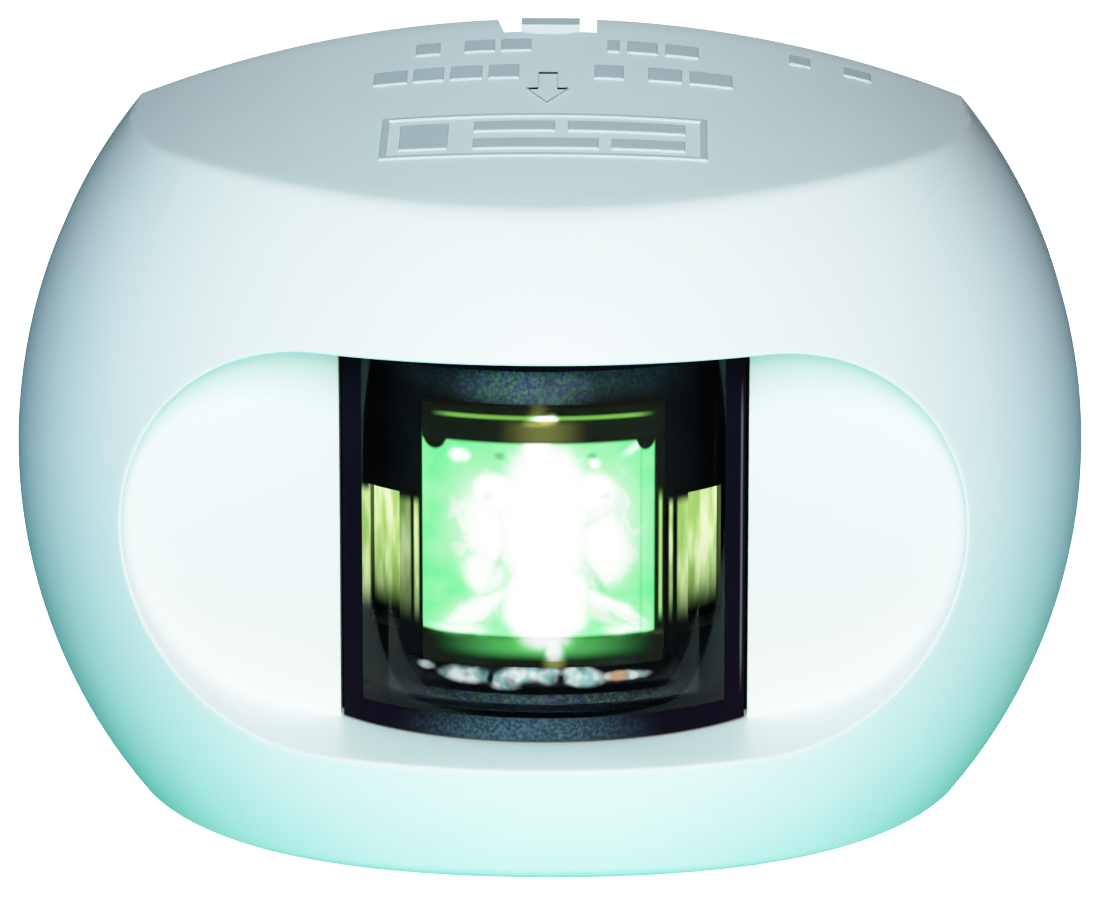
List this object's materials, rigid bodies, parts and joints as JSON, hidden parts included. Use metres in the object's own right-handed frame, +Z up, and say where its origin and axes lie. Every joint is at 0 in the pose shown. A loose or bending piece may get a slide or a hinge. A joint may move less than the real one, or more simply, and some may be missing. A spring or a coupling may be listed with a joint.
{
  "type": "navigation light",
  "caption": "Compact boat side light: white dome housing with a stadium recess round a bowed clear lens, lit green from inside, with a release latch at the top rear.",
  "frame": {"origin": "centre of the mounting face, midway between the two mounting holes", "axes": "+X to the right, +Y into the wall it is mounted on, +Z up; the light shines along -Y"},
  "size_m": [0.071, 0.0399, 0.0557],
  "materials": {
    "white_plastic": "satin moulded",
    "base_plastic": "satin moulded",
    "gasket_foam": "closed-cell foam",
    "latch_plastic": "satin moulded",
    "case_plastic": "satin moulded",
    "clear_lens": "polished clear",
    "seal_rubber": "matt",
    "black_mask": "matt",
    "green_lens": "polished, lit from behind",
    "reflector_white": "polished",
    "led_package": "silicone dome",
    "board_white": "solder mask",
    "heat_sink_metal": "milled",
    "board_green": "solder mask",
    "spacer_brass": "turned",
    "screw_steel": "plain",
    "grommet_rubber": "matt",
    "red_wire": "insulation",
    "black_wire": "insulation",
    "solder": "bright",
    "ferrite": "matt",
    "chip_epoxy": "matt",
    "capacitor_ceramic": "matt",
    "resistor_film": "matt"
  },
  "bodies": {
    "base": {"base_plate": "base_plastic", "base_gasket": "gasket_foam", "module_case": "case_plastic", "outer_lens": "clear_lens", "lens_seal": "seal_rubber", "light_box": "black_mask", "colour_lens": "green_lens", "reflector": "reflector_white", "led_emitters": "led_package", "led_board": "board_white", "heat_sink": "heat_sink_metal", "driver_board": "board_green", "board_spacers": "spacer_brass", "module_screws": "screw_steel", "base_screws": "screw_steel", "cable_grommet": "grommet_rubber", "red_lead": "red_wire", "black_lead": "black_wire", "solder_joints": "solder", "inductor": "ferrite", "controller_chip": "chip_epoxy", "capacitors": "capacitor_ceramic", "diodes": "chip_epoxy", "resistors": "resistor_film"},
    "cover": {"housing": "white_plastic"},
    "latch": {"release_latch": "latch_plastic"}
  },
  "joints": [
    {"name": "housing_pull", "type": "slide", "parent": "base", "child": "cover", "axis": [0, -1, 0], "range_m": [0, 0.04]},
    {"name": "latch_press", "type": "hinge", "parent": "base", "child": "latch", "pos_m": [0, -0.013, 0.02079], "axis": [-1, 0, 0], "range_deg": [0, 7], "stiffness_Nm_per_rad": 0.3}
  ]
}
